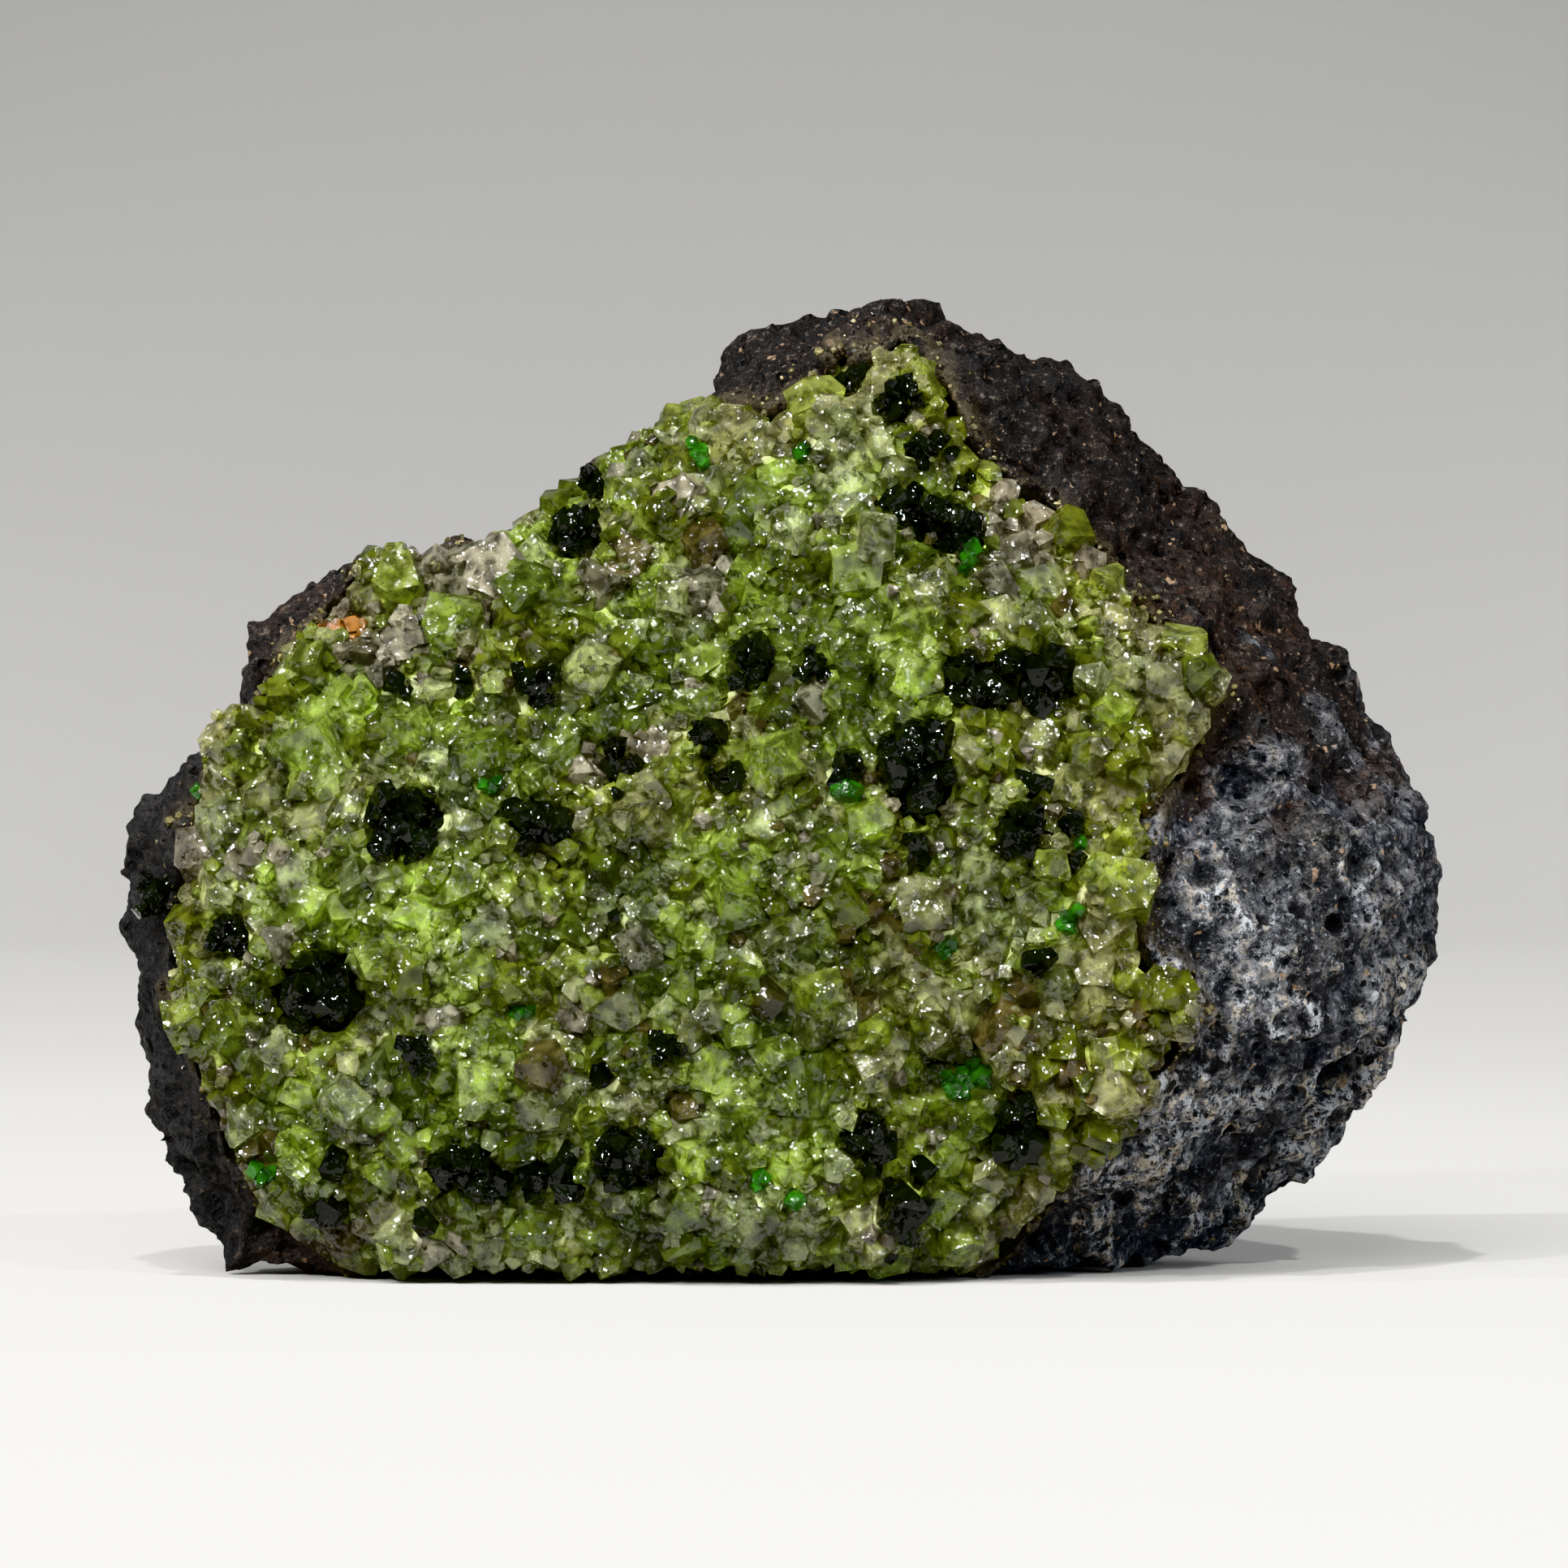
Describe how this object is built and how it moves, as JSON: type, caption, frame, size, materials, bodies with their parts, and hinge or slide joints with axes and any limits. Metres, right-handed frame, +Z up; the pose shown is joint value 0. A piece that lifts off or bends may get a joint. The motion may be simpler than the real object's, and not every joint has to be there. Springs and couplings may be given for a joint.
{
  "type": "peridot crystal specimen on basalt",
  "caption": "Hand specimen of granular green peridot crystals with black pyroxene, held in a rind of pitted dark basalt, standing on a flat underside.",
  "frame": {"origin": "middle of the underside of the lump's box, on the surface that it stands on", "axes": "+Z up; -Y out of the crystal face; +X to the right seen from the front"},
  "size_m": [0.0798, 0.0476, 0.0582],
  "materials": {
    "basalt": "matte",
    "peridot": "gloss",
    "black_crystal": "polished"
  },
  "bodies": {
    "root": {"basalt_matrix": "basalt", "peridot_mass": "peridot", "black_pyroxene_01": "black_crystal", "black_pyroxene_02": "black_crystal", "black_pyroxene_03": "black_crystal", "black_pyroxene_04": "black_crystal", "black_pyroxene_05": "black_crystal", "black_pyroxene_06": "black_crystal", "black_pyroxene_07": "black_crystal", "black_pyroxene_08": "black_crystal", "black_pyroxene_09": "black_crystal", "black_pyroxene_10": "black_crystal", "black_pyroxene_11": "black_crystal", "black_pyroxene_12": "black_crystal", "black_pyroxene_13": "black_crystal", "black_pyroxene_14": "black_crystal", "black_pyroxene_15": "black_crystal", "black_pyroxene_16": "black_crystal"}
  },
  "joints": []
}
